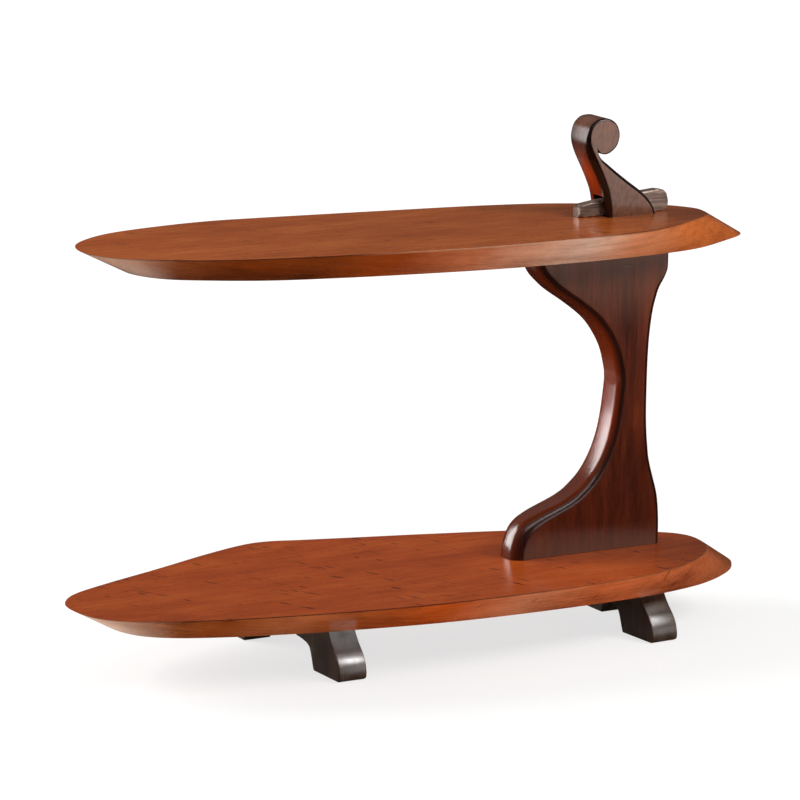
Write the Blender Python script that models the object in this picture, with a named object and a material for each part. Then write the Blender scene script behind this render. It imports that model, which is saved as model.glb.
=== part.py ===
"""Side table: two long boards with raked edges, one above the other, held at
their right end by a flat column that is hollowed on its left side.

The column's tenon passes through the upper board, ends in a scroll, and is
locked by a loose tapered key. The lower board stands on four bracket feet.
Metres, +Z up, X along the boards, Y away from the front. The origin is on the
floor, under the middle of the whole table's outline.
"""

import bmesh
import bpy
from math import cos, hypot, pi, radians, sin, tan
from mathutils import Matrix, Vector

# Fits shared by every joint
seat_gap = 0.0003
overrun = 0.012
mortise_end_room = 0.0015

# Boards
board_thickness = 0.036
board_arris = 0.0014
clear_height = 0.3523

lower_length = 0.790
lower_width = 0.341
lower_end_overhang = 0.144
lower_front_share = 0.378
lower_rake_x = 0.064
lower_rake_y = 0.042

upper_length = 0.755
upper_width = 0.276
upper_end_overhang = 0.138
upper_front_share = 0.359
upper_rake_x = 0.076
upper_rake_y = 0.042

# Column: middle plank, toe block and shoulder block, one thickness
column_thickness = 0.040
column_width = 0.180
glue_line_inset = 0.002
toe_round = 0.0155
toe_top_round = 0.0125
hollow_round = 0.0105
back_round = 0.0075
lip_round = 0.0022
stub_left = 0.005
stub_width = 0.054
stub_thickness = 0.024
stub_depth = 0.016

# Tenon and scroll above the upper board
tenon_left = 0.013
tenon_width = 0.065
tenon_height = 0.1112
tenon_round = 0.0070
neck_round = 0.0080
scroll_round = 0.0062
crown_round = 0.0034
rim_round = 0.0023
flank_round = 0.0047
crease_round = 0.0008
cheek_arris = 0.002

# Key and its slot
key_length = 0.1205
key_height = 0.025
key_thickness = 0.014
key_arris = 0.0018
key_nose_length = 0.031
key_back_room = 0.001
slot_front_wall = 0.006
slot_width = 0.022
slot_drop = 0.004

# Bracket feet
foot_height = 0.0572
foot_length = 0.105
foot_width = 0.035
foot_arris = 0.0016
near_right_turn = radians(3.0)

# Countersunk wood screws
foot_screw_length = 0.042
foot_screw_diameter = 0.0042
foot_screw_head = 0.0082
foot_screw_sink = 0.0022
foot_screw_spread = 0.016
column_screw_length = 0.070
column_screw_diameter = 0.0055
column_screw_head = 0.0105
column_screw_sink = 0.0010
screw_tip = 0.0012
screw_slot_width = 0.0012
screw_slot_depth = 0.0013
screw_sides = 14

# Outline of each board's top face, anticlockwise from the right end:
# (share of its length from the left tip, share of its width from the front)
lower_outline_shares = (
    (1.000, 0.350), (0.999, 0.443), (0.970, 0.522), (0.894, 0.619),
    (0.792, 0.751), (0.666, 0.845), (0.552, 0.918), (0.476, 0.968),
    (0.428, 1.000), (0.385, 0.994), (0.313, 0.935), (0.210, 0.830),
    (0.109, 0.733), (0.043, 0.657), (0.010, 0.572), (0.000, 0.478),
    (0.008, 0.361), (0.035, 0.276), (0.090, 0.205), (0.185, 0.132),
    (0.311, 0.065), (0.438, 0.018), (0.565, 0.000), (0.691, 0.000),
    (0.792, 0.018), (0.881, 0.070), (0.951, 0.167), (0.987, 0.267),
)
upper_outline_shares = (
    (1.000, 0.344), (0.997, 0.431), (0.966, 0.543), (0.897, 0.656),
    (0.817, 0.768), (0.711, 0.844), (0.579, 0.899), (0.446, 0.949),
    (0.354, 0.982), (0.274, 1.000), (0.181, 0.975), (0.095, 0.917),
    (0.032, 0.801), (0.004, 0.678), (0.000, 0.540), (0.023, 0.409),
    (0.069, 0.315), (0.155, 0.199), (0.261, 0.123), (0.380, 0.062),
    (0.513, 0.014), (0.645, 0.000), (0.764, 0.011), (0.857, 0.054),
    (0.936, 0.163), (0.984, 0.250),
)

# Front face of the column, left edge from the floor up, then the right edge
# from the shoulder down: (share of the column's width from its middle, share
# of the clear height, rounding of the arris)
hollow_shares = (
    (-0.492, 0.000, toe_round), (-0.481, 0.037, toe_round),
    (-0.441, 0.080, toe_round), (-0.359, 0.111, toe_top_round),
    (-0.217, 0.142, hollow_round), (-0.133, 0.160, hollow_round),
    (-0.058, 0.183, hollow_round), (0.046, 0.231, hollow_round),
    (0.124, 0.291, hollow_round), (0.180, 0.360, hollow_round),
    (0.214, 0.435, hollow_round), (0.237, 0.528, hollow_round),
    (0.240, 0.562, hollow_round), (0.232, 0.597, hollow_round),
    (0.191, 0.671, hollow_round), (0.118, 0.737, hollow_round),
    (0.030, 0.790, hollow_round), (-0.103, 0.843, hollow_round),
    (-0.239, 0.890, hollow_round), (-0.305, 0.918, hollow_round),
    (-0.364, 0.950, hollow_round), (-0.412, 1.000, hollow_round),
)
back_shares = (
    (0.523, 1.000, lip_round), (0.523, 0.929, lip_round),
    (0.513, 0.908, lip_round), (0.487, 0.888, flank_round),
    (0.453, 0.867, back_round), (0.431, 0.843, back_round),
    (0.402, 0.790, back_round), (0.382, 0.719, back_round),
    (0.372, 0.644, back_round), (0.368, 0.541, back_round),
    (0.369, 0.440, back_round), (0.376, 0.372, back_round),
    (0.384, 0.334, back_round), (0.393, 0.295, back_round),
    (0.411, 0.256, back_round), (0.432, 0.220, back_round),
    (0.466, 0.158, back_round), (0.481, 0.084, back_round),
    (0.483, 0.000, back_round),
)
# Front face of the tenon and its scroll, up the left flank, round the disc to
# the crease under it, and down the right flank: (share of the tenon's width
# from its left side, share of its rise over the board, rounding)
scroll_shares = (
    (0.108, 0.000, tenon_round), (0.097, 0.095, tenon_round),
    (0.072, 0.179, tenon_round), (0.044, 0.255, tenon_round),
    (-0.001, 0.331, neck_round), (-0.054, 0.407, neck_round),
    (-0.123, 0.492, neck_round), (-0.192, 0.569, neck_round),
    (-0.261, 0.646, neck_round), (-0.313, 0.705, neck_round),
    (-0.357, 0.765, scroll_round), (-0.376, 0.823, scroll_round),
    (-0.370, 0.872, crown_round), (-0.347, 0.920, crown_round),
    (-0.300, 0.959, crown_round), (-0.228, 0.989, crown_round),
    (-0.130, 1.000, rim_round), (-0.032, 0.998, rim_round),
    (0.051, 0.978, rim_round), (0.119, 0.943, rim_round),
    (0.162, 0.892, rim_round), (0.176, 0.842, rim_round),
    (0.163, 0.793, rim_round), (0.128, 0.745, rim_round),
    (0.064, 0.707, rim_round), (-0.017, 0.679, rim_round),
    (-0.099, 0.669, rim_round), (-0.173, 0.677, crease_round),
    (-0.220, 0.702, crease_round), (-0.246, 0.731, crease_round),
    (-0.251, 0.695, crease_round), (-0.229, 0.653, crease_round),
    (-0.186, 0.602, rim_round), (-0.126, 0.558, flank_round),
    (-0.025, 0.505, flank_round), (0.109, 0.441, flank_round),
    (0.244, 0.382, flank_round), (0.379, 0.323, flank_round),
    (0.513, 0.268, flank_round), (0.632, 0.217, flank_round),
    (0.734, 0.167, flank_round), (0.820, 0.113, flank_round),
    (0.880, 0.061, flank_round), (0.924, 0.000, flank_round),
)

# Side of the key: (share of its length from the nose, share of its height)
key_shares = (
    (0.000, 0.00), (0.003, 0.44), (0.030, 0.56), (0.140, 0.64),
    (0.400, 0.79), (0.670, 0.92), (0.880, 1.00), (0.950, 0.94),
    (0.980, 0.78), (1.000, 0.44), (0.993, 0.12), (0.965, 0.00),
)
key_top_shares = key_shares[2:7]

# Side of a foot: (share of its reach from its inner bottom edge toward the
# end of the arm, share of its height)
foot_shares = (
    (0.419, 1.000), (-0.262, 1.000), (-0.298, 0.860), (-0.352, 0.722),
    (-0.410, 0.605), (-0.464, 0.505), (-0.508, 0.385), (-0.535, 0.265),
    (-0.549, 0.130), (-0.541, 0.040), (-0.505, 0.000), (0.000, 0.000),
    (0.026, 0.012), (0.050, 0.120), (0.073, 0.240), (0.096, 0.345),
    (0.128, 0.440), (0.200, 0.495), (0.300, 0.527), (0.419, 0.545),
)
foot_screw_shares = (0.205, 0.345)
arm_underside_share = 0.545

# Place of each foot's inner bottom edge, at the middle of its width:
# (share of the lower board's length from the left tip, share of its width)
foot_place_shares = {
    "near_left": (0.376, 0.352),
    "near_right": (0.878, 0.305),
    "far_left": (0.365, 0.801),
    "far_right": (0.913, 0.578),
}
foot_turns = {
    "near_left": 0.0,
    "near_right": near_right_turn,
    "far_left": pi,
    "far_right": pi,
}
column_screw_shares = (-0.340, -0.165, 0.095, 0.265)

curve_steps = 4
profile_steps = 2
round_steps = 3

# Levels above the floor
lower_underside = foot_height + seat_gap
lower_top = lower_underside + board_thickness
column_base = lower_top + seat_gap
upper_underside = lower_top + clear_height
shoulder = upper_underside - seat_gap
upper_top = upper_underside + board_thickness


def wood(name, colour, roughness):
    """A plain stained and lacquered wood."""
    material = bpy.data.materials.new(name)
    material.use_nodes = True
    surface = material.node_tree.nodes["Principled BSDF"]
    surface.inputs["Base Color"].default_value = (*colour, 1.0)
    surface.inputs["Roughness"].default_value = roughness
    surface.inputs["Metallic"].default_value = 0.0
    return material


def metal(name, colour, roughness):
    """A plain bare metal."""
    material = wood(name, colour, roughness)
    surface = material.node_tree.nodes["Principled BSDF"]
    surface.inputs["Metallic"].default_value = 1.0
    return material


for item in list(bpy.data.objects):
    bpy.data.objects.remove(item, do_unlink=True)

board_wood = wood("red brown lacquered mahogany", (0.258, 0.066, 0.020), 0.30)
dark_wood = wood("dark stained hardwood", (0.052, 0.016, 0.010), 0.32)
foot_wood = wood("near black stained hardwood", (0.030, 0.011, 0.008), 0.34)
screw_metal = metal("brass screw", (0.60, 0.42, 0.17), 0.38)


def curve_point(p0, p1, p2, p3, t):
    """A point on the smooth curve that passes through p1 and p2."""
    return tuple(
        0.5 * (
            2.0 * b
            + (c - a) * t
            + (2.0 * a - 5.0 * b + 4.0 * c - d) * t * t
            + (3.0 * b - a - 3.0 * c + d) * t * t * t
        )
        for a, b, c, d in zip(p0, p1, p2, p3)
    )


def closed_curve(points, steps):
    """The closed smooth curve through points, with steps spans between each."""
    count = len(points)
    return [
        curve_point(points[i - 1], points[i], points[(i + 1) % count],
                    points[(i + 2) % count], k / steps)
        for i in range(count) for k in range(steps)
    ]


def open_curve(points, steps):
    """The open smooth curve through points, both ends included."""
    count = len(points)
    spans = [
        curve_point(points[max(i - 1, 0)], points[i], points[i + 1],
                    points[min(i + 2, count - 1)], k / steps)
        for i in range(count - 1) for k in range(steps)
    ]
    return spans + [points[-1]]


def finish(name, mesh_data, material, smooth_angle=radians(28.0)):
    """A named object from a finished bmesh, its faces pointing out."""
    bmesh.ops.recalc_face_normals(mesh_data, faces=mesh_data.faces)
    mesh = bpy.data.meshes.new(name)
    mesh_data.to_mesh(mesh)
    mesh_data.free()
    mesh.shade_smooth()
    mesh.set_sharp_from_angle(angle=smooth_angle)
    item = bpy.data.objects.new(name, mesh)
    bpy.context.scene.collection.objects.link(item)
    if material is not None:
        mesh.materials.append(material)
    return item


def as_cutter(item):
    """Marks an object as a shape that only serves Boolean modifiers."""
    item.hide_render = True
    item.display_type = 'WIRE'
    return item


def add_rings(mesh_data, rings, closed=True):
    """Joins equal rings of corners into one closed skin with flat ends."""
    corners = [[mesh_data.verts.new(p) for p in ring] for ring in rings]
    count = len(corners[0])
    for low, high in zip(corners, corners[1:]):
        for i in range(count):
            j = (i + 1) % count
            mesh_data.faces.new((low[i], low[j], high[j], high[i]))
    if closed:
        mesh_data.faces.new(corners[0])
        mesh_data.faces.new(corners[-1])
    return corners


def box(name, low, high):
    """A cutter box between two corners."""
    mesh_data = bmesh.new()
    bmesh.ops.create_cube(mesh_data, size=1.0)
    size = [b - a for a, b in zip(low, high)]
    middle = [(a + b) / 2.0 for a, b in zip(low, high)]
    place = Matrix.Translation(middle) @ Matrix.Diagonal((*size, 1.0))
    bmesh.ops.transform(mesh_data, matrix=place, verts=mesh_data.verts)
    return as_cutter(finish(name, mesh_data, None))


def cut(item, tool, operation='DIFFERENCE'):
    """A Boolean modifier of item by tool."""
    step = item.modifiers.new(tool.name, 'BOOLEAN')
    step.operation = operation
    step.solver = 'EXACT'
    step.object = tool


# The outlines are laid out from the column: X from its middle, Y from its
# front face. The table's own origin is under the middle of all of it.
def board_outline(shares, length, width, overhang, front_share):
    """Top outline of a board in the column's layout."""
    left = overhang - length
    front = -front_share * width
    points = [(left + a * length, front + b * width) for a, b in shares]
    return closed_curve(points, curve_steps)


lower_outline = board_outline(lower_outline_shares, lower_length, lower_width,
                              lower_end_overhang, lower_front_share)
upper_outline = board_outline(upper_outline_shares, upper_length, upper_width,
                              upper_end_overhang, upper_front_share)
lower_rake = (lower_rake_x, lower_rake_y)
upper_rake = (upper_rake_x, upper_rake_y)
middles = []
for axis in (0, 1):
    reach = [p[axis] for p in lower_outline + upper_outline]
    reach += [p[axis] + lower_rake[axis] for p in lower_outline]
    reach += [p[axis] + upper_rake[axis] for p in upper_outline]
    middles.append((min(reach) + max(reach)) / 2.0)
layout_x = -middles[0]
layout_y = -middles[1]


def board(name, outline, rake, underside):
    """A board whose whole edge leans the same way, with its arrises eased."""
    mesh_data = bmesh.new()
    top = underside + board_thickness
    low_ring = [(x + rake[0] + layout_x, y + rake[1] + layout_y, underside) for x, y in outline]
    high_ring = [(x + layout_x, y + layout_y, top) for x, y in outline]
    low, high = add_rings(mesh_data, (low_ring, high_ring))
    rims = [
        edge for edge in mesh_data.edges
        if abs(edge.verts[0].co.z - edge.verts[1].co.z) < board_arris
    ]
    bmesh.ops.bevel(mesh_data, geom=rims, offset=board_arris, offset_type='OFFSET',
                    segments=2, profile=0.5, affect='EDGES', clamp_overlap=True)
    return finish(name, mesh_data, board_wood)


lower_board = board("lower_board", lower_outline, lower_rake, lower_underside)
upper_board = board("upper_board", upper_outline, upper_rake, upper_underside)


def edge_normals(points, level_ends):
    """Outward direction at each point of an open edge that runs clockwise
    round the wood; at a level end it is stretched to stay on that level."""
    normals = []
    last = len(points) - 1
    for i in range(len(points)):
        before = points[max(i - 1, 0)]
        after = points[min(i + 1, last)]
        run = (after[0] - before[0], after[1] - before[1])
        size = hypot(*run)
        normal = (-run[1] / size, run[0] / size)
        if i in level_ends:
            normal = (1.0 / normal[0], 0.0)
        normals.append(normal)
    return normals


def rounded_slab(mesh_data, flat, outer, rounds, depth, place):
    """A slab whose two faces are the flat outline and whose edge swells to
    the outer outline over each arris; place turns (x, z, depth) to a point."""
    rings = []
    for k in range(round_steps + 1):
        angle = k / round_steps * pi / 2.0
        rings.append([
            place(a[0] + (b[0] - a[0]) * sin(angle), a[1] + (b[1] - a[1]) * sin(angle),
                  r * (1.0 - cos(angle)))
            for a, b, r in zip(flat, outer, rounds)
        ])
    for k in range(round_steps, -1, -1):
        angle = k / round_steps * pi / 2.0
        rings.append([
            place(a[0] + (b[0] - a[0]) * sin(angle), a[1] + (b[1] - a[1]) * sin(angle),
                  depth - r * (1.0 - cos(angle)))
            for a, b, r in zip(flat, outer, rounds)
        ])
    add_rings(mesh_data, rings)


# Column edges: hollow side up, tenon and scroll round, back edge down
column_height = shoulder - column_base
hollow_edge = open_curve(
    [(a * column_width, column_base + b * column_height, r) for a, b, r in hollow_shares],
    profile_steps)
back_edge = open_curve(
    [(a * column_width, column_base + b * column_height, r) for a, b, r in back_shares],
    profile_steps)
cheek_left = (tenon_left + cheek_arris, shoulder, cheek_arris)
cheek_right = (tenon_left + tenon_width - cheek_arris, shoulder, cheek_arris)
scroll_points = [
    (tenon_left + a * tenon_width, upper_top + b * tenon_height, r) for a, b, r in scroll_shares
]
scroll_edge = [cheek_left] + open_curve(scroll_points, profile_steps) + [cheek_right]

flat_edge = []
outer_edge = []
edge_rounds = []
for run in (hollow_edge, scroll_edge, back_edge):
    ends = (0, len(run) - 1)
    for (x, z, r), (nx, nz) in zip(run, edge_normals(run, ends)):
        flat_edge.append((x, z))
        outer_edge.append((x + nx * r, z + nz * r))
        edge_rounds.append(r)


def column_place(x, z, depth):
    return (x + layout_x, depth + layout_y, z)


def column_blank(name):
    """The whole column, scroll and all, before it is divided at the glue line."""
    mesh_data = bmesh.new()
    rounded_slab(mesh_data, flat_edge, outer_edge, edge_rounds, column_thickness, column_place)
    return finish(name, mesh_data, dark_wood)


glue_line = layout_x - glue_line_inset
outer_left = layout_x - column_width
front_air = layout_y - overrun
back_air = layout_y + column_thickness + overrun
split_level = (column_base + shoulder) / 2.0

toe_side = box("toe side", (outer_left, front_air, column_base - overrun),
               (glue_line - seat_gap / 2.0, back_air, split_level))
shoulder_side = box("shoulder side", (outer_left, front_air, split_level),
                    (glue_line - seat_gap / 2.0, back_air, shoulder + seat_gap))
left_side = box("left side", (outer_left, front_air, column_base - overrun),
                (glue_line + seat_gap / 2.0, back_air, shoulder + seat_gap))

toe_block = column_blank("toe_block")
cut(toe_block, toe_side, 'INTERSECT')
shoulder_block = column_blank("shoulder_block")
cut(shoulder_block, shoulder_side, 'INTERSECT')
column = column_blank("column")
cut(column, left_side)

# Stub tenon under the column and its mortise in the lower board
stub_front = layout_y + (column_thickness - stub_thickness) / 2.0
stub_low = (layout_x + stub_left, stub_front, column_base - stub_depth)
stub_high = (layout_x + stub_left + stub_width, stub_front + stub_thickness,
             column_base + stub_depth)
stub = box("stub tenon", stub_low, stub_high)
cut(column, stub, 'UNION')
stub_mortise = box(
    "stub mortise",
    (stub_low[0] - seat_gap, stub_low[1] - seat_gap, stub_low[2] - mortise_end_room),
    (stub_high[0] + seat_gap, stub_high[1] + seat_gap, lower_top + overrun))
cut(lower_board, stub_mortise)

# Through mortise in the upper board
through_mortise = box(
    "through mortise",
    (layout_x + tenon_left - seat_gap, layout_y - seat_gap, upper_underside - overrun),
    (layout_x + tenon_left + tenon_width + seat_gap, layout_y + column_thickness + seat_gap,
     upper_top + overrun))
cut(upper_board, through_mortise)


def share_height(share, table):
    """Height share of a table of points at a share along it."""
    for (a, low), (b, high) in zip(table, table[1:]):
        if share <= b:
            return low + (high - low) * (share - a) / (b - a)
    return table[-1][1]


def edge_place(level, edge):
    """X of the edge's outermost point at a level, read from its points."""
    found = [
        a[0] + (b[0] - a[0]) * (level - a[1]) / (b[1] - a[1])
        for a, b in zip(edge, edge[1:])
        if min(a[1], b[1]) <= level < max(a[1], b[1])
    ]
    return max(found)


def key_height_at(x):
    """Height of the key's top over its underside, X from the column's middle."""
    return key_height * share_height((x - key_nose) / key_length, key_top_shares)


# Key: it bears on the top of its slot where the slot opens on the right flank
key_nose = tenon_left - key_nose_length
key_underside = upper_top + seat_gap
slot_mouth = tenon_left + tenon_width
for trial in range(curve_steps):
    bearing = key_underside + key_height_at(slot_mouth)
    slot_mouth = edge_place(bearing, outer_edge)
slot_top = key_underside + key_height_at(slot_mouth) + seat_gap
slot_front = layout_y + slot_front_wall
slot_back = slot_front + slot_width
key_front = slot_back - key_back_room - key_thickness
key_slot = box(
    "key slot",
    (layout_x + tenon_left - tenon_width, slot_front, upper_top - slot_drop),
    (layout_x + tenon_left + tenon_width + overrun, slot_back, slot_top))
cut(column, key_slot)


def closed_inset(points, amount):
    """The closed outline points, moved into the wood by amount."""
    count = len(points)
    turn = sum(
        points[i - 1][0] * points[i][1] - points[i][0] * points[i - 1][1] for i in range(count)
    )
    side = 1.0 if turn > 0.0 else -1.0
    inset = []
    for i in range(count):
        before = Vector(points[i - 1])
        here = Vector(points[i])
        after = Vector(points[(i + 1) % count])
        in_run = (here - before).normalized()
        out_run = (after - here).normalized()
        normal = Vector((-(in_run + out_run).y, (in_run + out_run).x)).normalized() * side
        lean = max(normal.dot(Vector((-in_run.y, in_run.x)) * side), 0.5)
        inset.append(tuple(here + normal * amount / lean))
    return inset


def eased_slab(name, outline, arris, depth, material):
    """A slab with one small rounding on both its faces, depth along +Y."""
    mesh_data = bmesh.new()
    flat = closed_inset(outline, arris)
    rounded_slab(mesh_data, flat, outline, [arris] * len(outline), depth,
                 lambda x, z, y: (x, y, z))
    return finish(name, mesh_data, material)


key_side = [(a * key_length, b * key_height) for a, b in key_shares]
wedge_key = eased_slab("wedge_key", key_side, key_arris, key_thickness, dark_wood)
wedge_key.location = (layout_x + key_nose, key_front, key_underside)


def screw_rings(length, diameter, head, room, run_out):
    """Rings of a countersunk screw with its point up and its head at zero,
    or, with room about it and run out below its head, of the hole it takes."""
    shank = diameter / 2.0 + room
    rim = head / 2.0 + room
    cone = (head - diameter) / 2.0
    land = cone / tan(radians(82.0 / 2.0))
    profile = [(rim, -run_out)] if run_out else []
    profile += [(rim, room / 2.0), (shank, land + room / 2.0)]
    profile += [(shank, length - diameter), (screw_tip / 2.0 + room, length + room)]
    rings = []
    for radius, level in profile:
        rings.append([
            (radius * cos(2.0 * pi * k / screw_sides), radius * sin(2.0 * pi * k / screw_sides),
             level)
            for k in range(screw_sides)
        ])
    return rings


def moved(rings, place):
    return [[tuple(Vector(p) + place) for p in ring] for ring in rings]


def screw(name, place, length, diameter, head, slot_turn):
    """A slotted countersunk screw at place, point up."""
    mesh_data = bmesh.new()
    add_rings(mesh_data, screw_rings(length, diameter, head, 0.0, 0.0))
    item = finish(name, mesh_data, screw_metal)
    item.location = place
    slot = box(name + " slot", (-head, -screw_slot_width / 2.0, -screw_slot_depth),
               (head, screw_slot_width / 2.0, screw_slot_depth))
    slot.location = place
    slot.rotation_euler.z = slot_turn
    cut(item, slot)
    return item


def holes(name, places, length, diameter, head):
    """One cutter of screw holes at all the places."""
    mesh_data = bmesh.new()
    for place in places:
        rings = screw_rings(length, diameter, head, seat_gap, overrun)
        add_rings(mesh_data, moved(rings, place))
    return as_cutter(finish(name, mesh_data, None))


# Column screws, up through the lower board
column_screw_level = lower_underside + column_screw_sink
column_screw_places = [
    Vector((layout_x + share * column_width, layout_y + column_thickness / 2.0,
            column_screw_level))
    for share in column_screw_shares
]
for number, place in enumerate(column_screw_places, 1):
    screw(f"column_screw_{number}", place, column_screw_length, column_screw_diameter,
          column_screw_head, number * pi / 5.0)
column_holes = holes("column screw holes", column_screw_places, column_screw_length,
                     column_screw_diameter, column_screw_head)
cut(lower_board, column_holes)
toe_holes = holes("toe screw holes", column_screw_places[:2], column_screw_length,
                  column_screw_diameter, column_screw_head)
cut(toe_block, toe_holes)
plank_holes = holes("plank screw holes", column_screw_places[2:], column_screw_length,
                    column_screw_diameter, column_screw_head)
cut(column, plank_holes)

# Feet: side profile in (reach, height), widened about its middle
foot_side = [(a * foot_length, b * foot_height) for a, b in foot_shares]
board_left = layout_x + lower_end_overhang - lower_length
board_front = layout_y - lower_front_share * lower_width
foot_screw_level = arm_underside_share * foot_height + foot_screw_sink
all_foot_screws = []
for place_name, (along_share, across_share) in foot_place_shares.items():
    turn = foot_turns[place_name]
    foot = eased_slab("foot_" + place_name, foot_side, foot_arris, foot_width, foot_wood)
    upright = Matrix.Rotation(pi / 2.0, 4, 'Z') @ Matrix.Translation((0.0, -foot_width / 2.0, 0.0))
    foot.data.transform(upright)
    foot_spot = Vector((board_left + along_share * lower_length,
                        board_front + across_share * lower_width, 0.0))
    foot.location = foot_spot
    foot.rotation_euler.z = turn
    spots = []
    for side, share in zip((-1.0, 1.0), foot_screw_shares):
        spot = Vector((side * foot_screw_spread / 2.0, share * foot_length, foot_screw_level))
        spots.append(foot_spot + Matrix.Rotation(turn, 3, 'Z') @ spot)
    for number, spot in enumerate(spots, 1):
        screw(f"foot_screw_{place_name}_{number}", spot, foot_screw_length,
              foot_screw_diameter, foot_screw_head, turn + number * pi / 3.0)
    foot_holes = holes("holes " + place_name, spots, foot_screw_length,
                       foot_screw_diameter, foot_screw_head)
    cut(foot, foot_holes)
    all_foot_screws += spots
board_foot_holes = holes("board foot holes", all_foot_screws, foot_screw_length,
                         foot_screw_diameter, foot_screw_head)
cut(lower_board, board_foot_holes)
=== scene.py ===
# %% [markdown]
# # A side table held together by one loose key
#
# Two long boards, one above the other, hang on a flat column at their right
# end. The column's tenon passes up through the upper board, ends in a scroll
# and is locked by a tapered key. Four low bracket feet carry the lower board.
#
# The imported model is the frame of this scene: every piece below is built in
# metres where the CAD has it, and stands for the CAD node of the same name.

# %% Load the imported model
from math import cos, hypot, pi, radians, sin

import bpy
from mathutils import Matrix, Vector


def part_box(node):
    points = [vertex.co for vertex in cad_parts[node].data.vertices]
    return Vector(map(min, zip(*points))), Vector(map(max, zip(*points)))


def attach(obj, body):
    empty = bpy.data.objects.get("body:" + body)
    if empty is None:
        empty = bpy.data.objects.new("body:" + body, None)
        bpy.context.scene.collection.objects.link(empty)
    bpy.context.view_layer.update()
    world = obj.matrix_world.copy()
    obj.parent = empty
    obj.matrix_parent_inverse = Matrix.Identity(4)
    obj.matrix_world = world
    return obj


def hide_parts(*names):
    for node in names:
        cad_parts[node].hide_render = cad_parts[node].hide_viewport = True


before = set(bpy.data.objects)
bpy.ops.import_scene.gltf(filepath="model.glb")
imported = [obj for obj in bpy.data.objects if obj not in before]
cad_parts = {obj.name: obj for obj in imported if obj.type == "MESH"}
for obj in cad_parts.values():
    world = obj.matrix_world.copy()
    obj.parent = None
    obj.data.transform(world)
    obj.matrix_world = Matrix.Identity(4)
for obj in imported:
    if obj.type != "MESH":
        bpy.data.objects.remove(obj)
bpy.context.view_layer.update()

# %% [markdown]
# ## The camera
#
# The photograph was taken from the front left and a little above, with a long
# lens. Its angles and distance were solved from the outlines of the boards and
# the column. Here the camera's three directions are worked out from pitch, yaw
# and roll, and then it is backed off along the ray of one known point, the
# foot of the column.

# %% Camera
frame_pixels = 800.0
focal_pixels = 4800.0
camera_pitch = radians(12.2)
camera_yaw = radians(30.0)
camera_roll = radians(0.8)
camera_distance = 5.517
aim_point = Vector((0.215457, -0.062677, 0.0935))
aim_pixel = (591.0, 552.0)
sensor_width = 36.0

ahead = Vector((sin(camera_yaw) * cos(camera_pitch), cos(camera_yaw) * cos(camera_pitch),
                -sin(camera_pitch)))
level_right = Vector((cos(camera_yaw), -sin(camera_yaw), 0.0))
level_down = ahead.cross(level_right)
image_right = level_right * cos(camera_roll) - level_down * sin(camera_roll)
image_down = level_right * sin(camera_roll) + level_down * cos(camera_roll)
aim_ray = (image_right * (aim_pixel[0] - frame_pixels / 2) / focal_pixels
           + image_down * (aim_pixel[1] - frame_pixels / 2) / focal_pixels + ahead).normalized()

bpy.ops.object.camera_add(location=aim_point - aim_ray * camera_distance)
camera = bpy.context.object
camera.rotation_euler = Matrix((image_right, -image_down, -ahead)).transposed().to_euler()
camera.data.sensor_width = sensor_width
camera.data.lens = sensor_width * focal_pixels / frame_pixels
camera.data.clip_end = 60.0
bpy.context.scene.camera = camera
print("camera at", [round(c, 3) for c in camera.location], "lens", camera.data.lens)

# %% [markdown]
# ## Small helpers for modelling with operators
#
# An operator works on whatever is selected, so each step first says what that
# is. `only` picks one object, and `pick_faces` and `pick_edges` pick parts of
# it by their place or direction and leave it in edit mode. `report` prints
# what was made.


# %% Selecting
def only(piece):
    """Selects one object, out of edit mode."""
    if bpy.context.mode != 'OBJECT':
        bpy.ops.object.mode_set(mode='OBJECT')
    bpy.ops.object.select_all(action='DESELECT')
    piece.select_set(True)
    bpy.context.view_layer.objects.active = piece


def clear_marks(piece, kind):
    """Nothing selected inside piece, which is left in object mode."""
    only(piece)
    bpy.ops.object.mode_set(mode='EDIT')
    bpy.ops.mesh.select_mode(type=kind)
    bpy.ops.mesh.select_all(action='DESELECT')
    bpy.ops.object.mode_set(mode='OBJECT')


def pick_faces(piece, test):
    """Edit mode, with the faces whose (middle, normal, area) pass the test."""
    clear_marks(piece, 'FACE')
    for face in piece.data.polygons:
        face.select = test(face.center, face.normal, face.area)
    bpy.ops.object.mode_set(mode='EDIT')


def pick_edges(piece, test):
    """Edit mode, with the edges whose two ends pass the test."""
    clear_marks(piece, 'EDGE')
    corners = piece.data.vertices
    for edge in piece.data.edges:
        edge.select = test(corners[edge.vertices[0]].co, corners[edge.vertices[1]].co)
    bpy.ops.object.mode_set(mode='EDIT')


def report(piece):
    """Prints a piece's name, number of faces and size."""
    size = [round(1000 * s, 1) for s in piece.dimensions]
    print(f"{piece.name}: {len(piece.data.polygons)} faces, {size} mm")


# %% [markdown]
# ## The shapes' sizes
#
# Lengths are in metres. Every outline is a list of points given as shares of
# the piece's own length, width or height, so that a size can be changed in one
# place. Where the photograph shows an edge, its points were traced through the
# camera above. `layout` is the middle of the column's front face seen
# from above, from which the boards and the column are set out. `hair_gap` is
# the air in a good joint, and `through_room` lets a cutting block stick out of
# what it cuts, so that no skin is left.

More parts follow.
